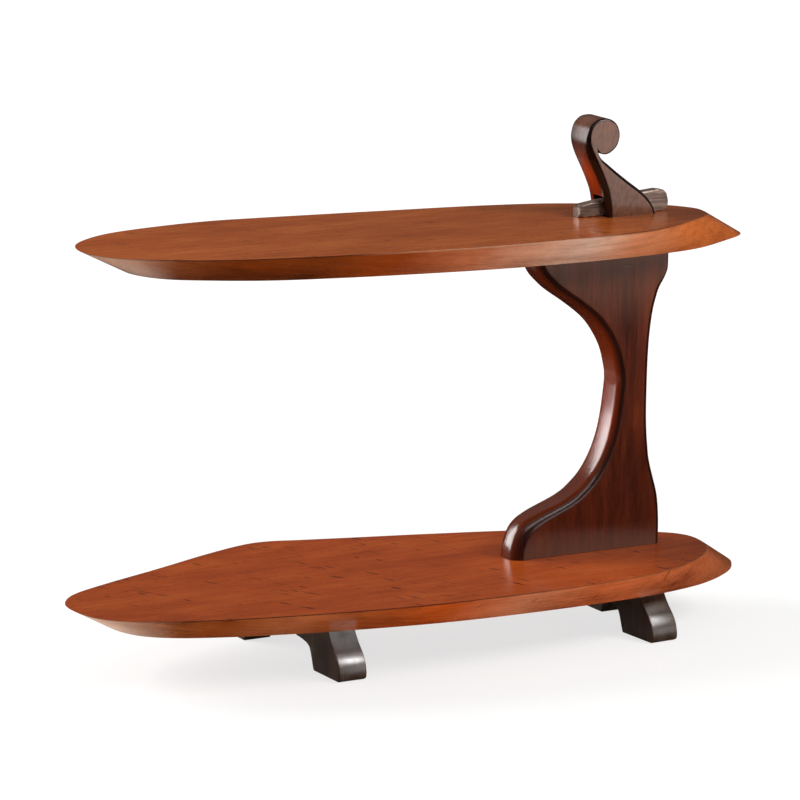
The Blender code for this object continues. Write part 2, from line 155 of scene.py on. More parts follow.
# %% Sizes
layout = Vector((0.215457, -0.062677))
hair_gap = 0.0003
through_room = 0.01
foot_height = 0.0572
clear_height = 0.3523
board_thickness = 0.036
board_arris = 0.0008
lower_length, lower_width = 0.790, 0.341
lower_overhang, lower_front_share = 0.144, 0.378
lower_rake = (0.064, 0.042)
upper_length, upper_width = 0.755, 0.276
upper_overhang, upper_front_share = 0.138, 0.359
upper_rake = (0.076, 0.042)
lower_underside = foot_height + hair_gap
lower_top = lower_underside + board_thickness
upper_underside = lower_top + clear_height
upper_top = upper_underside + board_thickness
column_base = lower_top + hair_gap
shoulder = upper_underside - hair_gap
column_thickness = 0.040
column_width = 0.180
tenon_left = 0.013
tenon_width = 0.065
tenon_height = 0.1112
print("upper surface at", round(1000 * upper_top, 1), "mm")


# %% [markdown]
# ## Smooth lines through chosen points
#
# A few points describe each outline, and a Catmull-Rom curve joins them. It
# passes through every point, so what was chosen is what is built, and more
# steps only make the line finer.


# %% Curves
def between(p0, p1, p2, p3, t):
    """A point on the smooth curve from p1 to p2."""
    return tuple(
        0.5 * (2 * b + (c - a) * t + (2 * a - 5 * b + 4 * c - d) * t ** 2
               + (3 * b - a - 3 * c + d) * t ** 3)
        for a, b, c, d in zip(p0, p1, p2, p3))


def smooth_loop(points, steps):
    """The closed curve through points."""
    count = len(points)
    return [between(points[i - 1], points[i], points[(i + 1) % count], points[(i + 2) % count],
                    k / steps)
            for i in range(count) for k in range(steps)]


def smooth_line(points, steps):
    """The open curve through points, both ends kept."""
    last = len(points) - 1
    line = [between(points[max(i - 1, 0)], points[i], points[i + 1], points[min(i + 2, last)],
                    k / steps)
            for i in range(last) for k in range(steps)]
    return line + [points[-1]]


# %% [markdown]
# ## The two boards
#
# Each board is a plank sawn to a long boat-like outline with the blade tilted
# one way, so the whole edge leans: it undercuts the front and the left tip and
# shows as a broad bevel at the right end. The outlines come first, traced from
# the photograph through the camera above.

# %% Board outlines
lower_outline_shares = (
    (1.000, 0.350), (0.999, 0.443), (0.970, 0.522), (0.894, 0.619),
    (0.792, 0.751), (0.666, 0.845), (0.552, 0.918), (0.476, 0.968),
    (0.428, 1.000), (0.385, 0.994), (0.313, 0.935), (0.210, 0.830),
    (0.109, 0.733), (0.043, 0.657), (0.010, 0.572), (0.000, 0.478),
    (0.008, 0.361), (0.035, 0.276), (0.090, 0.205), (0.185, 0.132),
    (0.311, 0.065), (0.438, 0.018), (0.565, 0.000), (0.691, 0.000),
    (0.792, 0.018), (0.881, 0.070), (0.951, 0.167), (0.987, 0.267),
)
upper_outline_shares = (
    (1.000, 0.344), (0.997, 0.431), (0.966, 0.543), (0.897, 0.656),
    (0.817, 0.768), (0.711, 0.844), (0.579, 0.899), (0.446, 0.949),
    (0.354, 0.982), (0.274, 1.000), (0.181, 0.975), (0.095, 0.917),
    (0.032, 0.801), (0.004, 0.678), (0.000, 0.540), (0.023, 0.409),
    (0.069, 0.315), (0.155, 0.199), (0.261, 0.123), (0.380, 0.062),
    (0.513, 0.014), (0.645, 0.000), (0.764, 0.011), (0.857, 0.054),
    (0.936, 0.163), (0.984, 0.250),
)
outline_steps = 8


def board_outline(shares, length, width, overhang, front_share):
    """The top outline of a board, as places in the scene."""
    left = layout.x + overhang - length
    front = layout.y - front_share * width
    return smooth_loop([(left + a * length, front + b * width) for a, b in shares],
                       outline_steps)


lower_outline = board_outline(lower_outline_shares, lower_length, lower_width, lower_overhang,
                              lower_front_share)
upper_outline = board_outline(upper_outline_shares, upper_length, upper_width, upper_overhang,
                              upper_front_share)
print(len(lower_outline), "and", len(upper_outline), "points")

# %% [markdown]
# One leaning extrusion gives the raked edge exactly. A circle is the start,
# because it already is one closed ring of points that can be drawn out to the
# outline; it is filled, extruded down along the lean, and the two rims are
# eased with a small rounding. A thin inset then keeps the flat faces perfectly
# flat under smooth shading.

# %% Make the boards
board_face_area = 0.05
board_face_inset = 0.0006
start_radius = 0.4


def make_board(name, outline, rake, underside):
    """A plank with a leaning edge and eased rims."""
    top = underside + board_thickness
    bpy.ops.mesh.primitive_circle_add(vertices=len(outline), radius=start_radius, fill_type='NGON',
                                      location=(0.0, 0.0, 0.0))
    piece = bpy.context.object
    piece.name = name
    for corner, (x, y) in zip(piece.data.vertices, outline):
        corner.co = (x, y, top)
    bpy.ops.object.mode_set(mode='EDIT')
    bpy.ops.mesh.select_all(action='SELECT')
    bpy.ops.mesh.extrude_region_move(
        TRANSFORM_OT_translate={"value": (rake[0], rake[1], -board_thickness)})
    bpy.ops.mesh.select_all(action='SELECT')
    bpy.ops.mesh.normals_make_consistent(inside=False)
    pick_edges(piece, lambda a, b: abs(a.z - b.z) < board_arris)
    bpy.ops.mesh.bevel(offset=board_arris, offset_type='OFFSET', segments=3, profile=0.5,
                       affect='EDGES')
    pick_faces(piece, lambda middle, normal, area: area > board_face_area)
    bpy.ops.mesh.inset(thickness=board_face_inset)
    bpy.ops.object.mode_set(mode='OBJECT')
    return piece


lower_board = make_board("lower_plank", lower_outline, lower_rake, lower_underside)
upper_board = make_board("upper_plank", upper_outline, upper_rake, upper_underside)
report(lower_board)
report(upper_board)

# %% [markdown]
# The upper board has a through mortise that the tenon fills, chopped here with
# a block. The lower board shows the countersunk holes of the four screws that
# hold the column, seen only from below. `cut` takes one shape out of another
# with a Boolean modifier that is applied at once.


# %% Mortise and screw holes
def cut(piece, tool):
    """Takes tool out of piece, and tool off the scene."""
    only(piece)
    bpy.ops.object.modifier_add(type='BOOLEAN')
    step = piece.modifiers[-1]
    step.solver = 'EXACT'
    step.object = tool
    bpy.ops.object.modifier_apply(modifier=step.name)
    only(tool)
    bpy.ops.object.delete()


def block(low, high):
    """A block between two corners, to cut with."""
    bpy.ops.mesh.primitive_cube_add(size=1.0, location=[(a + b) / 2 for a, b in zip(low, high)],
                                    scale=[b - a for a, b in zip(low, high)])
    return bpy.context.object


cut(upper_board, block(
    (layout.x + tenon_left - hair_gap, layout.y - hair_gap, upper_underside - through_room),
    (layout.x + tenon_left + tenon_width + hair_gap, layout.y + column_thickness + hair_gap,
     upper_top + through_room)))


def screw_hole(piece, node):
    """A round hole up to the head of a CAD screw, a hair wider than the head."""
    low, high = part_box(node)
    depth = 2 * through_room
    bpy.ops.mesh.primitive_cylinder_add(
        vertices=32, radius=(high[0] - low[0]) / 2 + hair_gap, depth=depth,
        location=((low[0] + high[0]) / 2, (low[1] + high[1]) / 2, low[2] + hair_gap - depth / 2))
    cut(piece, bpy.context.object)


for number in (1, 2, 3, 4):
    screw_hole(lower_board, f"column_screw_{number}")
report(upper_board)
report(lower_board)

# %% [markdown]
# ## The column
#
# The column is built up from three boards glued edge to edge: a straight
# middle plank that carries the tenon, a block at its toe and a block under the
# upper board's shoulder. Then one outline was sawn through all three and the
# hollow side was rounded over like a handrail, so the edge is as much a part
# of the shape as the outline is.
#
# Each point of the outline is a place on the front face with the size of the
# rounding there.

# %% Column outline
hollow_shares = (
    (-0.492, 0.000, 0.0155), (-0.481, 0.037, 0.0155), (-0.441, 0.080, 0.0155),
    (-0.359, 0.111, 0.0125), (-0.217, 0.142, 0.0105), (-0.133, 0.160, 0.0105),
    (-0.058, 0.183, 0.0105), (0.046, 0.231, 0.0105), (0.124, 0.291, 0.0105),
    (0.180, 0.360, 0.0105), (0.214, 0.435, 0.0105), (0.237, 0.528, 0.0105),
    (0.240, 0.562, 0.0105), (0.232, 0.597, 0.0105), (0.191, 0.671, 0.0105),
    (0.118, 0.737, 0.0105), (0.030, 0.790, 0.0105), (-0.103, 0.843, 0.0105),
    (-0.239, 0.890, 0.0105), (-0.305, 0.918, 0.0105), (-0.364, 0.950, 0.0105),
    (-0.412, 1.000, 0.0105),
)
back_shares = (
    (0.523, 1.000, 0.0022), (0.523, 0.929, 0.0022), (0.513, 0.908, 0.0024),
    (0.487, 0.888, 0.0042), (0.453, 0.867, 0.0066), (0.431, 0.843, 0.0075),
    (0.402, 0.790, 0.0075), (0.382, 0.719, 0.0075), (0.372, 0.644, 0.0075),
    (0.368, 0.541, 0.0075), (0.369, 0.440, 0.0075), (0.376, 0.372, 0.0075),
    (0.384, 0.334, 0.0075), (0.393, 0.295, 0.0075), (0.411, 0.256, 0.0075),
    (0.432, 0.220, 0.0075), (0.466, 0.158, 0.0075), (0.481, 0.084, 0.0075),
    (0.483, 0.000, 0.0075),
)
scroll_shares = (
    (0.108, 0.000, 0.0070), (0.097, 0.095, 0.0070), (0.072, 0.179, 0.0071),
    (0.044, 0.255, 0.0073), (-0.001, 0.331, 0.0076), (-0.054, 0.407, 0.0079),
    (-0.123, 0.492, 0.0080), (-0.192, 0.569, 0.0080), (-0.261, 0.646, 0.0078),
    (-0.313, 0.705, 0.0073), (-0.357, 0.765, 0.0062), (-0.376, 0.823, 0.0050),
    (-0.370, 0.872, 0.0041), (-0.347, 0.920, 0.0036), (-0.300, 0.959, 0.0032),
    (-0.228, 0.989, 0.0029), (-0.130, 1.000, 0.0026), (-0.032, 0.998, 0.0024),
    (0.051, 0.978, 0.0023), (0.119, 0.943, 0.0023), (0.162, 0.892, 0.0023),
    (0.176, 0.842, 0.0023), (0.163, 0.793, 0.0023), (0.128, 0.745, 0.0023),
    (0.064, 0.707, 0.0023), (-0.017, 0.679, 0.0021), (-0.099, 0.669, 0.0015),
    (-0.173, 0.677, 0.0009), (-0.220, 0.702, 0.0008), (-0.246, 0.731, 0.0008),
    (-0.251, 0.695, 0.0008), (-0.229, 0.653, 0.0012), (-0.186, 0.602, 0.0024),
    (-0.126, 0.558, 0.0038), (-0.025, 0.505, 0.0046), (0.109, 0.441, 0.0047),
    (0.244, 0.382, 0.0047), (0.379, 0.323, 0.0047), (0.513, 0.268, 0.0047),
    (0.632, 0.217, 0.0047), (0.734, 0.167, 0.0047), (0.820, 0.113, 0.0047),
    (0.880, 0.061, 0.0047), (0.924, 0.000, 0.0047),
)
edge_steps = 5
column_height = shoulder - column_base
cheek_arris = 0.002

hollow_line = smooth_line([(a * column_width, column_base + b * column_height, r)
                           for a, b, r in hollow_shares], edge_steps)
back_line = smooth_line([(a * column_width, column_base + b * column_height, r)
                         for a, b, r in back_shares], edge_steps)
scroll_line = (
    [(tenon_left + cheek_arris, shoulder, cheek_arris)]
    + smooth_line([(tenon_left + a * tenon_width, upper_top + b * tenon_height, r)
                   for a, b, r in scroll_shares], edge_steps)
    + [(tenon_left + tenon_width - cheek_arris, shoulder, cheek_arris)])


def swell(line):
    """(flat point, outer point, rounding) along an open edge line; at its two
    ends the edge is stretched sideways, so that it stays on their level."""
    points = []
    last = len(line) - 1
    for i, (x, z, r) in enumerate(line):
        before, after = line[max(i - 1, 0)], line[min(i + 1, last)]
        run = (after[0] - before[0], after[1] - before[1])
        out = (-run[1] / hypot(*run), run[0] / hypot(*run))
        if i in (0, last):
            out = (1.0 / out[0], 0.0)
        points.append(((x, z), (x + out[0] * r, z + out[1] * r), r))
    return points


column_ring = swell(hollow_line) + swell(scroll_line) + swell(back_line)
print(len(column_ring), "points round the column")

# %% [markdown]
# A bevel of one width couldn't follow a rounding that grows and shrinks, so a
# grid is rolled round the edge instead. Its columns run along the outline, and
# its rows run over the front rounding, across the thickness and over the back
# rounding. The grid keeps its own UV map, so a finish can later follow the
# edge: U runs along it and V across it. The two flat faces are then filled.

# %% Roll a grid round an edge
weld_distance = 0.00001
level_slack = 0.000001
round_steps = 8


def rolled_slab(name, ring, depth, place, steps):
    """A slab whose edge is rounded over to both faces. place turns
    (along, up, depth) into a point of the scene."""
    count = len(ring)
    rows = 2 * steps + 1
    bpy.ops.mesh.primitive_grid_add(x_subdivisions=count, y_subdivisions=rows, size=1.0)
    piece = bpy.context.object
    piece.name = name
    for corner in piece.data.vertices:
        flat, outer, r = ring[round((corner.co.x + 0.5) * count) % count]
        row = round((corner.co.y + 0.5) * rows)
        turn = min(row, rows - row) / steps * pi / 2
        sink = r * (1 - cos(turn))
        corner.co = place(flat[0] + (outer[0] - flat[0]) * sin(turn),
                          flat[1] + (outer[1] - flat[1]) * sin(turn),
                          sink if row <= steps else depth - sink)
    bpy.ops.object.mode_set(mode='EDIT')
    bpy.ops.mesh.select_all(action='SELECT')
    bpy.ops.mesh.remove_doubles(threshold=weld_distance)
    front, back = place(0.0, 0.0, 0.0), place(0.0, 0.0, depth)
    axis = max(range(3), key=lambda k: abs(front[k] - back[k]))
    for face in (front, back):
        pick_edges(piece, lambda a, b: max(abs(a[axis] - face[axis]),
                                           abs(b[axis] - face[axis])) < level_slack)
        bpy.ops.mesh.edge_face_add()
    bpy.ops.mesh.select_all(action='SELECT')
    bpy.ops.mesh.normals_make_consistent(inside=False)
    bpy.ops.object.mode_set(mode='OBJECT')
    return piece


def column_place(x, z, depth):
    """A point of the column's front face, sunk by depth, in the scene."""
    return (x + layout.x, depth + layout.y, z)


column_blank = rolled_slab("column_blank", column_ring, column_thickness, column_place,
                           round_steps)
report(column_blank)

# %% [markdown]
# The glue line is a straight cut through all three boards. Each block is a
# copy of the blank, divided with the bisect tool: once along the glue line and
# once half way up. The middle plank loses everything left of the glue line
# below the shoulder, but keeps the scroll, so it is cut with a block instead.

# %% Divide the blank at the glue line
glue_line = layout.x - 0.002
half_way = (column_base + shoulder) / 2
glue_gap = 0.00002


def copy_of(piece, name):
    """A copy with a mesh of its own."""
    only(piece)
    bpy.ops.object.duplicate()
    copy = bpy.context.object
    copy.name = name
    return copy


def keep_side(piece, point, away):
    """Bisects piece at a plane, drops the side that away points to and fills the cut."""
    only(piece)
    bpy.ops.object.mode_set(mode='EDIT')
    bpy.ops.mesh.select_all(action='SELECT')
    bpy.ops.mesh.bisect(plane_co=point, plane_no=away, use_fill=True, clear_outer=True)
    bpy.ops.object.mode_set(mode='OBJECT')


left_face = (glue_line - glue_gap, 0.0, 0.0)
toe_block = copy_of(column_blank, "column_toe")
keep_side(toe_block, left_face, (1.0, 0.0, 0.0))
keep_side(toe_block, (0.0, 0.0, half_way), (0.0, 0.0, 1.0))
shoulder_block = copy_of(column_blank, "column_shoulder")
keep_side(shoulder_block, left_face, (1.0, 0.0, 0.0))
keep_side(shoulder_block, (0.0, 0.0, half_way), (0.0, 0.0, -1.0))
keep_side(shoulder_block, (0.0, 0.0, shoulder + hair_gap), (0.0, 0.0, 1.0))
column = column_blank
column.name = "column_plank"
cut(column, block(
    (layout.x - column_width, layout.y - through_room, column_base - through_room),
    (glue_line + glue_gap, layout.y + column_thickness + through_room, shoulder + hair_gap)))
report(toe_block)
report(shoulder_block)
report(column)

# %% [markdown]
# ## The slot and the loose key
#
# The slot goes right through the tenon, from the left flank to the right, and
# a little below the board's surface, so that the key always bears on the board
# and on the slot's top. The key is a tapered bar: low and blunt at its nose,
# highest near its other end, where it was rounded to be tapped with a mallet.

# %% Slot and key
key_length = 0.1205
key_height = 0.025
key_thickness = 0.014
key_arris = 0.0018
key_nose_length = 0.031
key_back_room = 0.001
arris_steps = 4
slot_front_wall = 0.006
slot_width = 0.022
slot_drop = 0.004
slot_top = 0.5052
key_nose = layout.x + tenon_left - key_nose_length
slot_front = layout.y + slot_front_wall
slot_back = slot_front + slot_width
key_front = slot_back - key_back_room - key_thickness
key_underside = upper_top + hair_gap

cut(column, block(
    (layout.x + tenon_left - tenon_width, slot_front, upper_top - slot_drop),
    (layout.x + tenon_left + tenon_width + through_room, slot_back, slot_top)))

key_shares = (
    (0.000, 0.00), (0.003, 0.44), (0.030, 0.56), (0.140, 0.64),
    (0.400, 0.79), (0.670, 0.92), (0.880, 1.00), (0.950, 0.94),
    (0.980, 0.78), (1.000, 0.44), (0.993, 0.12), (0.965, 0.00),
)


def closed_swell(outline, r):
    """(flat point, outer point, rounding) round a closed outline: the flat
    face is the outline moved in by the rounding."""
    turn = sum(a[0] * b[1] - b[0] * a[1] for a, b in zip(outline, outline[1:] + outline[:1]))
    side = 1.0 if turn > 0 else -1.0
    ring = []
    for i, here in enumerate(outline):
        before = (Vector(here) - Vector(outline[i - 1])).normalized()
        after = (Vector(outline[(i + 1) % len(outline)]) - Vector(here)).normalized()
        inward = Vector((-(before + after).y, (before + after).x)).normalized() * side
        lean = max(inward.dot(Vector((-before.y, before.x)) * side), 0.5)
        ring.append((tuple(Vector(here) + inward * r / lean), here, r))
    return ring


key_outline = [(a * key_length, b * key_height) for a, b in key_shares]
key = rolled_slab("loose_key", closed_swell(key_outline, key_arris), key_thickness,
                  lambda x, z, y: (x + key_nose, y + key_front, z + key_underside), arris_steps)
report(key)

# %% [markdown]
# ## The four bracket feet
#
# Each foot is a short bracket: a bulging toe on the outside and an arm along
# the underside of the board, which takes two screws. One foot is modelled and
# copied four times, each copy turned and moved in its own mesh, and then
# drilled for its own screws.

# %% Feet
foot_length = 0.105
foot_width = 0.035
foot_arris = 0.0016
foot_shares = (
    (0.419, 1.000), (-0.262, 1.000), (-0.298, 0.860), (-0.352, 0.722),
    (-0.410, 0.605), (-0.464, 0.505), (-0.508, 0.385), (-0.535, 0.265),
    (-0.549, 0.130), (-0.541, 0.040), (-0.505, 0.000), (0.000, 0.000),
    (0.026, 0.012), (0.050, 0.120), (0.073, 0.240), (0.096, 0.345),
    (0.128, 0.440), (0.200, 0.495), (0.300, 0.527), (0.419, 0.545),
)
foot_spots = {
    "near_left": (-0.1335, -0.07154, 0.0),
    "near_right": (0.26308, -0.08757, radians(3.0)),
    "far_left": (-0.14219, 0.08157, pi),
    "far_right": (0.29073, 0.00552, pi),
}
foot_points = [(a * foot_length, b * foot_height) for a, b in foot_shares]
toe_points, arm_points = foot_points[1:11], foot_points[11:]
foot_outline = [foot_points[0]] + smooth_line(toe_points, 4) + smooth_line(arm_points, 3)
foot_model = rolled_slab("foot", closed_swell(foot_outline, foot_arris), foot_width,
                         lambda y, z, x: (x - foot_width / 2, y, z), arris_steps)
report(foot_model)

feet = {}
for spot_name, (x, y, turn) in foot_spots.items():
    foot = copy_of(foot_model, "bracket_" + spot_name)
    foot.location = (x, y, 0.0)
    foot.rotation_euler.z = turn
    bpy.ops.object.transform_apply(location=True, rotation=True, scale=True)
    for number in (1, 2):
        screw_hole(foot, f"foot_screw_{spot_name}_{number}")
    feet[spot_name] = foot
    report(foot)
only(foot_model)
bpy.ops.object.delete()

# %% [markdown]
# ## Shading of the shapes
#
# Faces that meet at less than about a third of a right angle are shaded as one
# surface, so the roundings look round and the sawn edges stay crisp. Big flat
# faces get a thin inset first, which keeps the shading of the rounding beside
# them from bleeding across them.

# %% Smooth shading
flat_face_area = 0.0004
flat_face_inset = 0.0003
upright_slack = 0.001
smooth_angle = radians(35.0)
planks = [lower_board, upper_board]
dark_pieces = [column, toe_block, shoulder_block, key] + list(feet.values())
for piece in dark_pieces:
    pick_faces(piece, lambda middle, normal, area: area > flat_face_area
               and abs(normal.z) < upright_slack)
    bpy.ops.mesh.inset(thickness=flat_face_inset, use_individual=True)
    bpy.ops.object.mode_set(mode='OBJECT')
for piece in planks + dark_pieces:
    only(piece)
    bpy.ops.object.shade_smooth_by_angle(angle=smooth_angle)
print(len(planks + dark_pieces), "pieces shaded")

# %% [markdown]
# ## Materials
#
# Every finish is a small tree of nodes on object coordinates, so the grain
# goes through the wood as it does in a real board. `paint` turns an sRGB hex
# colour into the linear values that the shader wants, `add` puts in one node
# with its settings and links, and `dress` gives a piece its finishes.


# %% Material helpers
def paint(code):
    """Linear colour of an sRGB hex value."""
    channels = [int(code[i:i + 2], 16) / 255 for i in (1, 3, 5)]
    return (*[c / 12.92 if c <= 0.04045 else ((c + 0.055) / 1.055) ** 2.4 for c in channels], 1.0)


def add(tree, kind, inputs=None, stops=None, **settings):
    """One node. inputs names or numbers its sockets, each with a value or with
    the output that feeds it; stops are a ramp's (place, hex colour), the
    lowest and the highest first."""
    node = tree.nodes.new(kind)
    for key, value in settings.items():
        setattr(node, key, value)
    for socket, value in (inputs or {}).items():
        if isinstance(value, bpy.types.NodeSocket):
            tree.links.new(value, node.inputs[socket])
        else:
            node.inputs[socket].default_value = value
    for i, (place, code) in enumerate(stops or ()):
        stop = node.color_ramp.elements[i] if i < 2 else node.color_ramp.elements.new(place)
        stop.position = place
        stop.color = paint(code)
    return node


def new_material(name):
    """An empty node tree with its output."""
    material = bpy.data.materials.new(name)
    material.use_nodes = True
    tree = material.node_tree
    tree.nodes.clear()
    output = add(tree, 'ShaderNodeOutputMaterial')
    return material, tree, output


def dress(piece, *finishes):
    """Gives a piece these materials in place of all it had."""
    piece.data.materials.clear()
    for finish in finishes:
        piece.data.materials.append(finish)


print("middle grey is", round(paint("#808080")[0], 3), "in linear light")

# %% [markdown]
# ### Stained and lacquered hardwood
#
# Both woods are the same kind of thing: a long-grained hardwood, wiped with a
# dark stain and sprayed with a satin lacquer. What differs is the stain, which
# way the grain runs and how much the surface was knocked about on purpose. So
# three functions build them all. The first makes the grain, as one tone from
# dark to pale:
#
# - cloudy patches, longer along the grain, where the stain took unevenly
# - streaks a few millimetres wide and ten times as long, where pores lie dense
# - fine fibres, about 2 mm wide, the finest that the picture can show
# - growth rings round a pith outside the board, which run as long lines on
#   the faces and as arcs where the edge is sawn across

# %% Grain
fibre_size = (0.050, 0.0022)


def grain(tree, laid, cloud, streak, shares):
    """(tone, fibres) at places laid along the grain. cloud and streak are
    sizes (along, across); shares weigh clouds, streaks, fibres and rings."""
    tone = 0.0
    for (along, across), detail, share in ((cloud, 3.0, shares[0]), (streak, 3.0, shares[1]),
                                           (fibre_size, 2.0, shares[2])):
        spread = add(tree, 'ShaderNodeVectorMath',
                     {0: laid, 1: (1 / along, 1 / across, 1 / across)}, operation='MULTIPLY')
        noise = add(tree, 'ShaderNodeTexNoise', {'Vector': spread.outputs[0], 'Scale': 1.0,
                                                 'Detail': detail, 'Roughness': 0.55})
        fibres = add(tree, 'ShaderNodeMapRange', {'Value': noise.outputs[0], 'From Min': 0.3,
                                                  'From Max': 0.7}).outputs[0]
        tone = add(tree, 'ShaderNodeMath', {0: fibres, 1: share, 2: tone},
                   operation='MULTIPLY_ADD').outputs[0]
    drawn_out = add(tree, 'ShaderNodeVectorMath', {0: laid, 1: (0.10, 1.0, 1.0)},
                    operation='MULTIPLY').outputs[0]
    rings = add(tree, 'ShaderNodeTexWave',
                {'Vector': drawn_out, 'Scale': 28.0, 'Distortion': 14.0, 'Detail': 3.0,
                 'Detail Scale': 17.0, 'Detail Roughness': 0.65},
                wave_type='RINGS', rings_direction='X').outputs['Fac']
    tone = add(tree, 'ShaderNodeMath', {0: rings, 1: shares[3], 2: tone},
               operation='MULTIPLY_ADD').outputs[0]
    return tone, fibres


# %% [markdown]
# The second makes the short dents and flecks that lie across the grain and
# hold dark stain. Each cell of a Voronoi pattern may be one mark: its random
# colour says whether the mark is there, how far it reaches and how deep it is.
# The cells have the size of a mark and are turned against the grain. A noise
# bends them, so that no two marks are alike, and another gathers them in
# patches, as a worker with a chain or an awl would.


# %% Dents and flecks
def flecks(tree, laid, size, share):
    """How dark the marks are, 0 to 1. size is a cell's (length, width), and
    share says how many cells hold a mark where they lie thickest."""
    place = add(tree, 'ShaderNodeMapping',
                {'Vector': laid, 'Rotation': (0.0, 0.0, radians(-67.0)),
                 'Scale': (size[0], size[1], size[0])}, vector_type='TEXTURE').outputs[0]
    wobble = add(tree, 'ShaderNodeTexNoise', {'Vector': place, 'Scale': 1.3, 'Detail': 2.0})
    bent = add(tree, 'ShaderNodeVectorMath',
               {0: wobble.outputs['Color'], 1: (0.9, 0.9, 0.9), 2: place},
               operation='MULTIPLY_ADD').outputs[0]
    cells = add(tree, 'ShaderNodeTexVoronoi', {'Vector': bent, 'Scale': 1.0})
    dice = add(tree, 'ShaderNodeSeparateColor', {'Color': cells.outputs['Color']}).outputs
    patch = add(tree, 'ShaderNodeTexNoise', {'Vector': laid, 'Scale': 14.0, 'Detail': 1.0})
    often = add(tree, 'ShaderNodeMapRange', {'Value': patch.outputs[0], 'From Min': 0.42,
                                             'From Max': 0.66, 'To Min': 0.15 * share,
                                             'To Max': share}).outputs[0]
    chosen = add(tree, 'ShaderNodeMath', {0: dice[0], 1: often}, operation='LESS_THAN')
    reach = add(tree, 'ShaderNodeMapRange', {'Value': dice[1], 'To Min': 0.18, 'To Max': 0.50})
    depth = add(tree, 'ShaderNodeMapRange', {'Value': dice[2], 'To Min': 0.45, 'To Max': 1.0})
    mark = add(tree, 'ShaderNodeMapRange',
               {'Value': cells.outputs['Distance'], 'From Min': reach.outputs[0],
                'From Max': 0.06, 'To Min': 0.0, 'To Max': depth.outputs[0]})
    return add(tree, 'ShaderNodeMath', {0: mark.outputs[0], 1: chosen.outputs[0]},
               operation='MULTIPLY').outputs[0]


# %% [markdown]
# The third puts them together. The grain's tone runs through a ramp of four
# stains, from the darkest to the palest, and the marks go over it. The lacquer
# is thinner over the fibres, so they dull it a little and stand up from it,
# and the marks sink into it. Lacquer and wood have an IOR of about 1.5.


# %% Hardwood
def hardwood(name, tones, fleck_tone, turn, pith, cloud, streak, shares, fleck_share,
             fleck_size, rough, gloss):
    """A stained and lacquered hardwood, its grain along X before it is turned,
    as (material, tree, coordinates, surface, colour)."""
    material, tree, output = new_material(name)
    coordinates = add(tree, 'ShaderNodeTexCoord').outputs
    laid = add(tree, 'ShaderNodeMapping',
               {'Vector': coordinates['Object'], 'Location': pith, 'Rotation': turn},
               vector_type='TEXTURE').outputs[0]
    tone, fibres = grain(tree, laid, cloud, streak, shares)
    colour = add(tree, 'ShaderNodeValToRGB', {'Fac': tone},
                 stops=[(0.10, tones[0]), (0.92, tones[3]), (0.38, tones[1]),
                        (0.64, tones[2])]).outputs['Color']
    fleck = flecks(tree, laid, fleck_size, fleck_share)
    colour = add(tree, 'ShaderNodeMix', {0: fleck, 6: colour, 7: paint(fleck_tone)},
                 data_type='RGBA').outputs[2]
    dulled = add(tree, 'ShaderNodeMath', {0: fibres, 1: 0.08, 2: rough - 0.04},
                 operation='MULTIPLY_ADD').outputs[0]
    relief = add(tree, 'ShaderNodeMath', {0: fleck, 1: -2.5, 2: fibres},
                 operation='MULTIPLY_ADD').outputs[0]
    bump = add(tree, 'ShaderNodeBump', {'Strength': 0.08, 'Distance': 0.0005,
                                        'Height': relief}).outputs[0]
    surface = add(tree, 'ShaderNodeBsdfPrincipled',
                  {'Base Color': colour, 'Roughness': dulled, 'IOR': 1.5,
                   'Specular IOR Level': gloss, 'Normal': bump})
    tree.links.new(surface.outputs[0], output.inputs['Surface'])
    return material, tree, coordinates, surface, colour


# %% [markdown]
# ### Mahogany of the boards
#
# The boards are mahogany, stained a warm red-brown, with a lacquer that mirrors
# the column's foot softly. Each board gets three finishes. The flat faces are
# cloudy, and their drift along the board is painted light and shade: it darkens
# the right end, a painted shadow of the column and the tenon, and makes the
# rest of each top lighter or darker as the light falls on it. The raked edge was
# sawn across the grain, so it took the stain unevenly: it is deep and saturated
# near the free end and amber toward the right tip, and its pale stretch about
# two thirds along is a painted reflection. At the back, which is never wiped as
# well, it is darker. The arris between the two took most stain at the left and
# is paler farther right, which on the upper board is a painted highlight, and
# that line reaches a millimetre or two down the edge. The lower board was
# dented and flecked much more than the upper one, which is how such a piece is
# made to look old.
#
# A painted texture could hold all this, but a colour ramp along the board does
# it in a list that can be read and changed. A drift's places run from the free
# end of the table (0) to its right tip (1).


# %% Drift along the boards
table_reach = 0.43


def along_board(tree, place_x, drift):
    """The drift's colour at a place along the board."""
    share = add(tree, 'ShaderNodeMapRange', {'Value': place_x, 'From Min': -table_reach,
                                             'From Max': table_reach})
    return add(tree, 'ShaderNodeValToRGB', {'Fac': share.outputs[0]}, stops=drift).outputs[0]
